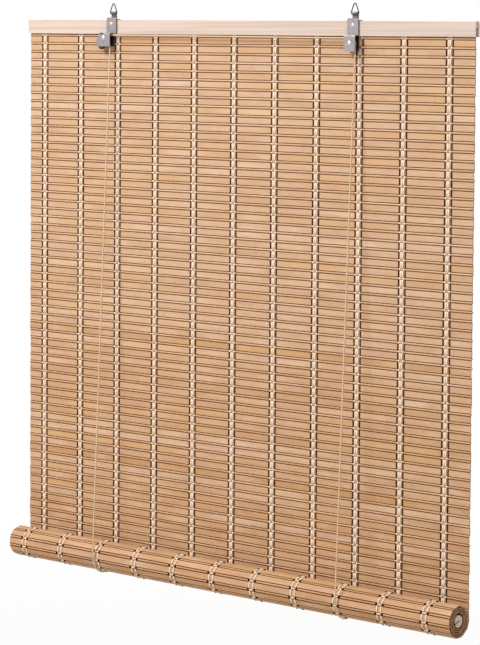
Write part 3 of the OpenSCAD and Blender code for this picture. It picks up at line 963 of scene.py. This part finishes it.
@dataclass
class Weaver:
    """Makes the mat's strips and yarns, hanging and on the roll."""

    layout: MatLayout
    bamboo: Material
    strip_steps: int = 12
    # Each point at a slat's edge: share of its half thickness, inset in millimetres, and painted shade of
    # the gap.
    slat_edge_and_shade: tuple[Point, ...] = ((1.0, 1.25, 0.0), (0.93, 0.95, 0.6), (0.5, 0.0, 1.0))
    slat_tone: Pair = (0.0, 1.0)
    reed_sides: int = 16
    reed_closing: float = 0.7
    # Painted shade on a reed's sides where it meets the slats: steepness, and how much is taken off.
    reed_shade: Pair = (4.0, 3.1)
    reed_tone: Pair = (0.5, 1.0)
    end_play: float = 0.6 * MM
    bow: float = 0.7 * MM
    closing: float = 0.17 * MM
    sawn: float = 0.4 * MM
    # Painted shade on the strips' cut ends, for the roll's end that lies in shade.
    end_shade: float = 0.45
    # Painted shade all over the roll's inner turns, for the shade between the turns.
    inner_shade: float = 1.0
    roll_reed_lift: float = 0.2 * MM
    roll_slat_lift: float = -0.1 * MM
    slit_turn: float = math.radians(13)
    slit_room: float = 0.4 * MM
    last_turn: float = 2 * math.pi * 0.97
    yarn_sides: int = 6
    yarn_seat: float = 0.42
    over_slat: tuple[Pair, ...] = ((-0.42, 1.0), (0.0, 1.04), (0.42, 1.0))
    over_reed: tuple[Pair, ...] = ((-0.36, 0.8), (0.0, 1.0), (0.36, 0.8))
    cream_yarns: tuple[Yarn, ...] = (
        *yarn_pair(1.4, 1.4, 2.7, 0.7, Side.FRONT),
        *yarn_pair(3.4, 3.5, 2.3, 0.9, Side.BACK),
    )
    brown_yarns: tuple[Yarn, ...] = yarn_pair(5.3, 5.3, 1.8, 0.9, Side.FRONT)
    roll_brown_yarns: tuple[Yarn, ...] = yarn_pair(5.5, 5.5, 3.2, 1.2, Side.FRONT)

    def __post_init__(self) -> None:
        """Makes the strips that the trees set out: for the open mat, and for between the roll's turns,
        where painted shade darkens them all over.
        """
        slat, reed, dark = self.slat_section(), self.reed_section(), self.inner_shade
        self.open_strips = self.strip("slat_strip", slat, 0.0), self.strip("reed_strip", reed, 0.0)
        self.shaded_strips = self.strip("inner_slat", slat, dark), self.strip("inner_reed", reed, dark)

    def slat_section(self) -> list[Point]:
        """Section of a slat, its width upright, with eased edges that close the gap to the reeds, darkened
        as painted shade of the gap.

        Returns:
            Y, Z and painted shade of each point.
        """
        w, t = self.layout.slat_w / 2 + self.closing, self.layout.slat_t / 2
        back = [(y * t, inset * MM - w, dark) for y, inset, dark in self.slat_edge_and_shade]
        low = [(-y, z, dark) for y, z, dark in back] + back[::-1]
        return low + [(y, -z, dark) for y, z, dark in reversed(low)]

    def reed_section(self) -> list[Point]:
        """Section of a thin round reed, with painted shade where it meets the slats.

        Returns:
            Y, Z and painted shade of each point.
        """
        r, (steep, from_top) = self.layout.reed_d / 2 + self.closing * self.reed_closing, self.reed_shade
        turns = [2 * math.pi * k / self.reed_sides for k in range(self.reed_sides)]
        return [(r * math.cos(a), r * math.sin(a), abs(math.sin(a)) * steep - from_top) for a in turns]

    def strip(self, name: str, section: list[Point], face: float) -> Piece:
        """A strip as long as the mat is wide.

        Args:
            name: name of the hidden object.
            section: Y, Z and painted shade of each point of its section.
            face: the least painted shade on it, nought for the open mat.

        Returns:
            The strip, out of the scene, for Geometry Nodes to set out.
        """
        half = self.layout.width / 2
        xs = [half * (2 * i / self.strip_steps - 1) for i in range(self.strip_steps + 1)]
        xs = [xs[0], xs[0] + self.sawn, *xs[1:-1], xs[-1] - self.sawn, xs[-1]]
        # Painted shade of each point: the section's own, at least face, and the end shade on the cut ends.
        edge, end = [max(face, dark) for *_, dark in section], [self.end_shade] * len(section)
        rings = [[(x, y, z) for y, z, _ in section] for x in xs]
        piece = tube(name, rings, self.bamboo, smooth=False, edge=[end, *[edge] * (len(xs) - 2), end])
        bpy.context.scene.collection.objects.unlink(piece)
        return piece

    def hanging(self, name: str, rows: range, seed: int) -> Piece:
        """Slats and reeds of some rows of the hanging mat.

        Args:
            name: name of the piece.
            rows: the rows, from the top.
            seed: picks tones and end play.

        Returns:
            The strips as one piece.
        """
        lay = self.layout
        slats = [((0, lay.plane_y, lay.top_z - lay.slat_at(j)), 0.0) for j in rows]
        reeds = [((0, lay.plane_y, lay.top_z - lay.reed_at(j)), 0.0) for j in rows]
        return self.strips(name, slats, reeds, self.open_strips, seed)

    def wound(self, name: str, seed: int) -> Piece:
        """Slats and reeds of the roll, the last slat in the rod's slit, with painted shade on the faces
        between the turns.

        Args:
            name: name of the piece.
            seed: picks tones and end play.

        Returns:
            The strips as one piece.
        """
        lay, last = self.layout, self.layout.roll_rows - 1
        slats = [lay.strip_on_roll(lay.slat_at(j), self.roll_slat_lift) for j in range(last)]
        reeds = [lay.strip_on_roll(lay.reed_at(j), self.roll_reed_lift) for j in range(last)]
        reeds.append(lay.strip_on_roll(lay.reed_at(last), 0.0))
        tail = lay.turn(lay.wound_len) + self.slit_turn
        reach = lay.rod_d / 2 - self.slit_room - lay.slat_w / 2
        slats.append((tuple(lay.about_axis(reach, tail)), -tail + math.pi / 2))
        seen = next(j for j in range(lay.roll_rows) if lay.turn(lay.reed_at(j)) > self.last_turn)
        outer = self.strips(name, slats[:seen], reeds[:seen], self.open_strips, seed)
        inner = self.strips(name + "_inside", slats[seen:], reeds[seen:], self.shaded_strips, seed + 2)
        return joined(name, [outer, inner])

    def strips(
        self, name: str, slats: list[Spot], reeds: list[Spot], kinds: tuple[Piece, Piece], seed: int
    ) -> Piece:
        """Sets out slats and reeds and joins them to one piece.

        Args:
            name: name of the piece.
            slats: place and turn of each slat.
            reeds: place and turn of each reed.
            kinds: the slat and the reed to set out.
            seed: picks tones and end play.

        Returns:
            The strips as one piece.
        """
        play = self.end_play, self.bow
        flat = CopyTree(name + "_slats", kinds[0], self.bamboo, self.slat_tone, *play, seed)
        thin = CopyTree(name + "_reeds", kinds[1], self.bamboo, self.reed_tone, *play, seed + 1)
        return joined(name, [flat.make(*zip(*slats)), thin.make(*zip(*reeds))])

    def level(self, yarn: Yarn, on_slat: bool) -> float:
        """How far a yarn's middle lies behind the mat's middle."""
        side, body = (1, self.layout.slat_t) if on_slat else (-1, self.layout.reed_d)
        return side * yarn.at_slats.value * (body / 2 + self.closing + yarn.thick * self.yarn_seat)

    def marks(self, yarn: Yarn, row: int) -> list[Point]:
        """Where a yarn passes over one row: its reed, then its slat.

        Args:
            yarn: the yarn.
            row: the row.

        Returns:
            Place along the mat, sideways place and level of each point.
        """
        lay = self.layout
        over, under = self.level(yarn, True), self.level(yarn, False)
        reed = [(lay.reed_at(row) + lay.reed_d * s, yarn.reed_x, under * k) for s, k in self.over_reed]
        slat = [(lay.slat_at(row) + lay.slat_w * s, yarn.slat_x, over * k) for s, k in self.over_slat]
        return reed + slat

    def path(self, yarn: Yarn, column: int, rows: range, on_roll: bool) -> list[Vector]:
        """Middle line of one yarn.

        Args:
            yarn: the yarn.
            column: its column, from the left.
            rows: the rows that it passes over.
            on_roll: whether it lies on the outermost turn of the roll, or hangs.

        Returns:
            The line's points.
        """
        lay, middle = self.layout, self.layout.column_x(column)
        marks = [mark for row in rows for mark in self.marks(yarn, row)]
        if on_roll:
            return [lay.on_roll(s, middle + x, h) for s, x, h in marks if lay.turn(s) < self.last_turn]
        return [Vector((middle + x, lay.plane_y + h, lay.top_z - s)) for s, x, h in marks]

    def yarns(
        self, name: str, yarns: tuple[Yarn, ...], rows: range, on_roll: bool, material: Material
    ) -> Piece:
        """Yarns of every column over some rows.

        Args:
            name: name of the piece.
            yarns: a column's yarns, in pairs of one section.
            rows: the rows, from the top of the mat or of its wound length.
            on_roll: whether they lie on the outermost turn of the roll, or hang.
            material: the yarns' finish.

        Returns:
            The yarns as one piece.
        """
        pairs = []
        for pair in zip(yarns[::2], yarns[1::2]):
            paths = [self.path(yarn, i, rows, on_roll) for i in range(COLUMNS) for yarn in pair]
            section = pair[0].width, pair[0].thick, self.yarn_sides
            pairs.append(TubeTree(f"{name}_{len(pairs)}", material, *section).make(paths))
        return joined(name, pairs)


@dataclass
class CordRun:
    """A stretch of lift cord that moves as one, with the height that it shortens from where it does."""

    name: str
    node: str
    route: list[Point]
    side: Vector
    body: Body
    shrink_from: float | None


@dataclass
class LiftCords:
    """The two lift cords, in the stretches that move apart from each other."""

    material: Material
    lift: float
    layout: MatLayout
    diameter: float = 2 * MM
    sides: int = 10
    braid_pitch: float = 4 * MM
    step: float = 6 * MM
    most_steps: int = 20
    declared_from: float = 30 * MM
    loop_r: float = 23.9 * MM
    loop_lead: float = 14 * MM
    loop_step: int = 9
    strand_top: float = -31 * MM
    strand_lead: float = 4 * MM
    end_y: float = -1.7 * MM
    end_z: Pair = (-20 * MM, -5 * MM)
    spool: Point = (-242 * MM, -15.2 * MM, 3.6 * MM)
    wheel: Point = (205 * MM, -19 * MM, 6.3 * MM)
    wrap_step: int = 15
    grip_angle: int = 150
    drop_angle: int = 30
    top_angle: int = 90
    lock_reach: float = 16.5 * MM
    wheel_reach: float = 13.25 * MM
    lock_y: Pair = (-14.3 * MM, -12.1 * MM)
    wheel_y: float = -13.2 * MM
    left_x: Pair = (-232 * MM, -227 * MM)
    right_x: Pair = (211.3 * MM, 217 * MM)

    @property
    def loop_top(self) -> float:
        """Height where the strands meet the loops under the roll."""
        return self.layout.roll_z + self.diameter / 2

    def wrap(self, wheel: Point, y: float, start: int, stop: int) -> list[Point]:
        """The way over a wheel, by its X, its Z and the cord's radius on it, from angle to angle."""
        (x, z, r), angles = wheel, range(start, stop - 1, -self.wrap_step)
        return [(x + r * math.cos(a), y, z + r * math.sin(a)) for a in map(math.radians, angles)]

    def heads(self) -> tuple[list[Point], list[Point]]:
        """The first stretch of each cord, from the cam's grip to where it drops from its bracket.

        Returns:
            The left cord's points in the lock, and the right cord's over the spool and the pulley.
        """
        (left_y, over_y), y, top, left = self.lock_y, self.wheel_y, self.strand_top, self.left_x[0]
        (spool_x, spool_z, spool_r), (wheel_x, wheel_z, wheel_r) = self.spool, self.wheel
        lock = self.wrap(self.spool, left_y, self.grip_angle, self.drop_angle)
        lock += [(left, left_y, top + self.strand_lead), (left, left_y, top)]
        over = self.wrap(self.spool, over_y, self.grip_angle, self.top_angle)
        over.append((spool_x + self.lock_reach, over_y, spool_z + spool_r))
        over.append((wheel_x - self.wheel_reach, y, wheel_z + wheel_r))
        over += self.wrap(self.wheel, y, self.top_angle, 0)
        over.append((self.right_x[0], y, top))
        return lock, over

    def strands(self, x: float, y: float, loop_x: float) -> tuple[list[Point], ...]:
        """A cord below its bracket: down the front, under the roll, and up behind the mat into the rail.

        Args:
            x: sideways place at the bracket.
            y: depth at the bracket.
            loop_x: sideways place under the roll.

        Returns:
            Points of the three stretches.
        """
        middle, r, top = self.layout.roll_y, self.loop_r, self.strand_top
        low, lead = self.loop_top, self.loop_top + self.loop_lead
        front = [(x, y, top), (x, y, top - self.strand_lead)]
        front += [(loop_x, middle - r, z) for z in (lead, low)]
        turns = map(math.radians, range(0, HALF_TURN + 1, self.loop_step))
        bend = [(loop_x, middle - r * math.cos(a), self.layout.roll_z - r * math.sin(a)) for a in turns]
        under = [front[-1], *bend, (loop_x, middle + r, low)]
        behind = [under[-1], (loop_x, middle + r, lead), *[(loop_x, self.end_y, z) for z in self.end_z]]
        return front, under, behind

    def runs(self) -> list[CordRun]:
        """The stretches of both cords, from the lock to the ends in the rail.

        Returns:
            Four stretches a cord, in order.
        """
        lock, over = self.heads()
        runs = []
        for cord, first, (x, loop_x), y in (
            ("left_cord_", ("in_lock", "lock", lock), self.left_x, self.lock_y[0]),
            ("right_cord_", ("over", "cross", over), self.right_x, self.wheel_y),
        ):
            front, under, behind = self.strands(x, y, loop_x)
            for piece, node, *rest in (
                (*first, INWARDS, Body.HEAD, None),
                ("down", "front", front, SIDEWAYS, Body.HEAD, self.strand_top),
                ("under", "loop", under, SIDEWAYS, Body.SLING, None),
                ("behind", "back", behind, SIDEWAYS, Body.HEAD, self.end_z[1]),
            ):
                runs.append(CordRun(cord + piece, cord + node, *rest))
        return runs

    def build(self) -> None:
        """Makes, dresses and places every stretch."""
        for run in self.runs():
            path = self.fine(run.route)
            gone = [0.0]
            for a, b in zip(path, path[1:]):
                gone.append(gone[-1] + (b - a).length)
            rings = round_rings(path, run.side, self.diameter / 2, self.sides)
            girth = [(k / self.sides, far / self.braid_pitch) for far in gone for k in range(self.sides)]
            piece = tube(run.name, rings, self.material, girth=girth)
            place(piece, run.body, Slot.CORD, (run.node,))
            if run.shrink_from is not None:
                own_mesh(piece)

    def fine(self, route: list[Point]) -> list[Vector]:
        """Adds points between those of a route, so that it keeps its corners.

        Args:
            route: the corners.

        Returns:
            All the points.
        """
        corners = [Vector(corner) for corner in route]
        path = corners[:1]
        for a, b in zip(corners, corners[1:]):
            count = max(1, min(self.most_steps, round((b - a).length / self.step)))
            path.extend(a.lerp(b, i / count) for i in range(1, count + 1))
        return path


@dataclass
class Hardware:
    """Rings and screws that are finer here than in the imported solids."""

    wire: Material
    bright: Material
    ring_half: float = 7 * MM
    ring_tall: float = 16.3 * MM
    tip_r: float = 2 * MM
    corner_r: float = 1 * MM
    bend_points: int = 13
    wire_sides: int = 16
    shank_d: float = 3 * MM
    point_share: float = 0.2
    head_t: float = 1.2 * MM
    recess: float = 0.7 * MM
    arm_half: float = 0.36 * MM
    widest_arm: float = 0.6
    wall_turn: float = math.radians(1)
    crease: float = math.radians(35)
    plain_steps: tuple[float, ...] = (0.97, 0.88, 0.75, 0.64)
    sunk_steps: tuple[Point, ...] = (
        (0.6, 1, 0),
        (0.4, 1, 0),
        (0.24, 1, 0),
        (0.16, 1, 1),
        (0.04, 1.1, 1.1),
    )

    def ring(self, name: str, node: str, body: Body) -> None:
        """A bent wire ring with a smooth section, in its packed ring's place.

        Args:
            name: name of the piece.
            node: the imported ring.
            body: the body that it swings with.
        """
        low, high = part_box(node)
        r = (high.y - low.y) / 2
        x, y, base = (low.x + high.x) / 2, (low.y + high.y) / 2, low.z + r
        lean = math.atan(self.ring_half / self.ring_tall)
        corner_x = self.ring_half - self.corner_r / math.tan((math.pi / 2 - lean) / 2)
        tip_z = self.ring_tall - self.tip_r / math.sin(lean)
        bends = [
            (corner_x, self.corner_r, self.corner_r, -math.pi / 2, lean),
            (0, tip_z, self.tip_r, lean, math.pi - lean),
            (-corner_x, self.corner_r, self.corner_r, math.pi - lean, 1.5 * math.pi),
        ]
        path = []
        for cx, cz, bend, start, stop in bends:
            for a in np.linspace(start, stop, self.bend_points):
                path.append(Vector((x + cx + bend * math.cos(a), y, base + cz + bend * math.sin(a))))
        wire = TubeTree(name, self.wire, 2 * r, 2 * r, self.wire_sides)
        place(wire.make([path], closed=True), body, Slot.WIRE, (node,))

    def screws(self, name: str, nodes: tuple[str, ...]) -> None:
        """Round-head screws with a crossed recess, in their packed screws' places.

        Args:
            name: name of the piece.
            nodes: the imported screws.
        """
        boxes = [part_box(node) for node in nodes]
        spots = [((low.x + high.x) / 2, low.y, (low.z + high.z) / 2) for low, high in boxes]
        low, high = boxes[0]
        shape = self.screw((high.x - low.x) / 2, high.y - low.y)
        piece = CopyTree(name, shape, self.bright).make(spots, [0.0] * len(spots))
        place(piece, Body.HEAD, Slot.ZINC, nodes)

    def screw(self, head: float, length: float) -> Piece:
        """One screw along Y with the top of its head at the origin.

        Args:
            head: radius of its head.
            length: its whole length.

        Returns:
            The screw, out of the scene, for Geometry Nodes to set out.
        """
        shank, seat = self.shank_d / 2, self.head_t
        body = ((length, shank * self.point_share), (length - seat, shank), (seat, shank), (seat, head))
        rings = [self.head_ring(y, r, 0.0, 0.0) for y, r in body]
        for share, arms, between in [(share, 0, 0) for share in self.plain_steps] + [*self.sunk_steps]:
            rings.append(self.head_ring(seat - seat * math.sqrt(1 - share**2), head * share, arms, between))
        piece = tube("screw_shape", rings, self.bright)
        piece.data.set_sharp_from_angle(angle=self.crease)
        bpy.context.scene.collection.objects.unlink(piece)
        return piece

    def head_ring(self, y: float, r: float, arms: float, between: float) -> list[Point]:
        """Points round a screw.

        Args:
            y: place of the ring along the screw.
            r: its radius.
            arms: how far the four arms of the recess are sunk there, as a share of its depth.
            between: the same for the head between the arms.

        Returns:
            The points in order.
        """
        quarter, wall = math.pi / 2, self.wall_turn
        lean = math.asin(min(self.arm_half / r, self.widest_arm))
        third = (quarter - 2 * lean) / 3
        sunk = [(turn, arms) for turn in (0.0, lean - wall)]
        kept = [(turn, between) for turn in (lean + wall, lean + third)]
        kept += [(quarter - turn, between) for turn in (lean + third, lean + wall)]
        turns = [*sunk, *kept, (quarter - lean + wall, arms)]
        turns = [(turn + arm * quarter, depth * self.recess) for arm in range(4) for turn, depth in turns]
        return [(r * math.cos(a), y + depth, r * math.sin(a)) for a, depth in turns]


# Stage


@dataclass(frozen=True)
class PhotoCamera:
    """Camera at the photo's place, angle and framing."""

    focal_px: float = 2637.0
    yaw: float = 0.71513
    pitch: float = -0.06432
    roll: float = -0.007
    place: Point = (2.36749, -2.72357, -0.00332)
    middle_row: float = 200.0
    sensor: float = 36.0

    def build(self) -> None:
        """Makes the camera and gives it to the scene."""
        data = bpy.data.cameras.new("photo_camera")
        tall = max(IMAGE_SIZE)
        data.sensor_fit, data.sensor_width = "AUTO", self.sensor
        data.lens = self.focal_px * self.sensor / tall
        data.shift_y = (self.middle_row - IMAGE_SIZE[1] / 2) / tall
        camera = bpy.data.objects.new("photo_camera", data)
        flat = math.cos(self.pitch)
        ahead = Vector((-math.sin(self.yaw) * flat, math.cos(self.yaw) * flat, math.sin(self.pitch)))
        right = Vector((math.cos(self.yaw), math.sin(self.yaw), 0))
        down = ahead.cross(right)
        c, s = math.cos(self.roll), math.sin(self.roll)
        right, down = right * c + down * s, down * c - right * s
        turn = Matrix((right, -down, -ahead)).transposed().to_4x4()
        camera.matrix_world = Matrix.Translation(self.place) @ turn
        bpy.context.scene.collection.objects.link(camera)
        bpy.context.scene.camera = camera


@dataclass(frozen=True)
class Lamp:
    """A soft square lamp that faces a point."""

    name: str
    place: Point
    target: Point
    size: float
    power: float

    def build(self) -> None:
        """Makes the lamp."""
        data = bpy.data.lights.new(self.name, "AREA")
        data.size, data.energy = self.size, self.power
        lamp = bpy.data.objects.new(self.name, data)
        lamp.location = self.place
        way = Vector(self.target) - Vector(self.place)
        lamp.rotation_euler = way.to_track_quat("-Z", "Y").to_euler()
        bpy.context.scene.collection.objects.link(lamp)


@dataclass(frozen=True)
class Studio:
    """Pale floor, white surroundings and soft lamps."""

    floor_z: float = -1.05
    floor_size: float = 30.0
    floor_colour: Paint = (0.62, 0.57, 0.52, 1)
    floor_roughness: float = 0.9
    shadow_share: float = 0.07
    shadow_reach: Pair = (0.7, 2.2)
    ambient: float = 0.46
    lamps: tuple[Lamp, ...] = (
        Lamp("key_lamp", (-1.0, -2.0, 1.7), (0, 0, -0.2), 1.0, 84.0),
        Lamp("fill_lamp", (3.2, -0.9, 0.2), (0, 0, -0.4), 2.0, 11.0),
        Lamp("rear_lamp", (0.4, 2.4, 1.2), (0, 0, -0.3), 2.0, 26.0),
    )

    def build(self) -> None:
        """Makes the world, the floor and the lamps."""
        bpy.context.scene.view_settings.view_transform = "Standard"
        self.world()
        self.floor()
        for lamp in self.lamps:
            lamp.build()

    def world(self) -> None:
        """White to the camera, softer as a light."""
        world = bpy.data.worlds.new("studio")
        bpy.context.scene.world = world
        world.use_nodes = True
        net = NodeNet(world.node_tree)
        shade = world.node_tree.nodes["Background"].inputs
        net.feed(shade["Color"], (1, 1, 1, 1))
        net.feed(shade["Strength"], net.spread(net.seen_directly(), 0.0, 1.0, self.ambient, 1.0))

    def floor(self) -> None:
        """A wide pale floor that keeps a soft shadow and fades to white."""
        half = self.floor_size / 2
        mesh = bpy.data.meshes.new("floor")
        corners = [(-half, -half, 0), (half, -half, 0), (half, half, 0), (-half, half, 0)]
        mesh.from_pydata(corners, [], [(0, 1, 2, 3)])
        s = Shader("pale_floor")
        mesh.materials.append(s.finish(self.floor_colour, self.floor_roughness))
        away = s.add("ShaderNodeVectorMath", {0: s.place()}, operation="LENGTH").outputs["Value"]
        fade = s.spread(away, *self.shadow_reach, 1 - self.shadow_share, 1.0)
        fade.node.interpolation_type = "SMOOTHSTEP"
        share = s.math("MULTIPLY", s.seen_directly(), fade)
        ends = {1: s.surface.outputs[0], 2: s.out("ShaderNodeEmission")}
        shown = s.out("ShaderNodeMixShader", {"Fac": share, **ends})
        s.feed(s.tree.nodes["Material Output"].inputs["Surface"], shown)
        floor = linked("floor", mesh)
        floor.location.z = self.floor_z


# The whole


@dataclass
class Blind:
    """The whole blind, dressed piece by piece."""

    frame: dict
    upper_seed: int = 11
    lower_seed: int = 23
    roll_seed: int = 37
    squashed: float = 0.002
    bare_rows: int = 2

    def __post_init__(self) -> None:
        """Builds the finishes, and takes the nodes and the roll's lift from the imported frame."""
        self.finishes, self.layout, self.nodes = Finishes(), MatLayout(), self.frame["nodes"]
        self.lift = next(j for j in self.frame["joints"] if j["name"] == "roll_lift")["range_m"][1]

    def build(self) -> None:
        """Builds and dresses every piece, cords first."""
        LiftCords(self.finishes.cord, self.lift, self.layout).build()
        self.mat()
        hardware = Hardware(self.finishes.wire, self.finishes.bright)
        hardware.ring("left_wire_ring", "left_ring", Body.LEFT_HANGER)
        hardware.ring("right_wire_ring", "right_ring", Body.RIGHT_HANGER)
        hardware.screws("plate_screws", ("left_screw", "right_screw"))
        self.dress_nodes()

    def mat(self) -> None:
        """The hanging mat in a part that stays and a part that winds up, and the roll."""
        f, lay = self.finishes, self.layout
        weaver = Weaver(lay, f.bamboo)
        self.hang(weaver, "upper", range(lay.kept_rows), self.upper_seed)
        lower = self.hang(weaver, "lower", range(lay.kept_rows, lay.drop_rows), self.lower_seed)
        for piece in lower:
            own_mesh(piece)
        place(weaver.wound("roll_strips", self.roll_seed), Body.ROLL, Slot.BAMBOO, ("mat_roll",))
        rows = range(lay.roll_rows - self.bare_rows)
        cream = weaver.yarns("cream_yarns_roll", weaver.cream_yarns, rows, True, f.cream)
        brown = weaver.yarns("brown_yarns_roll", weaver.roll_brown_yarns, rows, True, f.brown)
        place(cream, Body.ROLL, Slot.CREAM_YARN, ("roll_warp",))
        place(brown, Body.ROLL, Slot.BROWN_YARN, ("roll_warp_brown",))

    def hang(self, weaver: Weaver, where: str, rows: range, seed: int) -> tuple[Piece, Piece, Piece]:
        """Makes and places the strips and yarns of some rows of the hanging mat.

        Args:
            weaver: makes them.
            where: the last word of their names.
            rows: the rows, from the top.
            seed: picks tones and end play.

        Returns:
            The strips, the cream yarns and the brown ones.
        """
        f = self.finishes
        strips = weaver.hanging(f"mat_{where}", rows, seed)
        cream = weaver.yarns(f"cream_yarns_{where}", weaver.cream_yarns, rows, False, f.cream)
        brown = weaver.yarns(f"brown_yarns_{where}", weaver.brown_yarns, rows, False, f.brown)
        place(strips, Body.HEAD, Slot.BAMBOO, ("slat_mat",))
        place(cream, Body.HEAD, Slot.CREAM_YARN, tuple(f"warp_{i + 1:02d}" for i in range(COLUMNS)))
        place(brown, Body.HEAD, Slot.BROWN_YARN, ("warp_brown",))
        return strips, cream, brown

    def dress_nodes(self) -> None:
        """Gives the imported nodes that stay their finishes."""
        f = self.finishes
        for material, names in (
            (f.pale_wood, ("head_rail", "bottom_rod")),
            (f.strap, ("left_strap", "right_strap")),
            (f.zinc, ("lock_cover", "pulley_cover", "cam_pin", "grip_cam")),
            (f.bright, ("lock_rivet", "pulley_rivet")),
            (f.plastic, ("spool", "pulley_wheel")),
        ):
            for name in names:
                mesh = self.nodes[name].data
                mesh.materials.clear()
                mesh.materials.append(material)
                LOG.info("%s is dressed in %s", name, material.name)


def main() -> None:
    """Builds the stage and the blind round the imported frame."""
    logging.basicConfig(level=logging.INFO, format="%(name)s: %(message)s")
    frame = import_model()
    PhotoCamera().build()
    Studio().build()
    Blind(frame).build()
    bpy.context.view_layer.update()


if __name__ == "__main__":
    main()
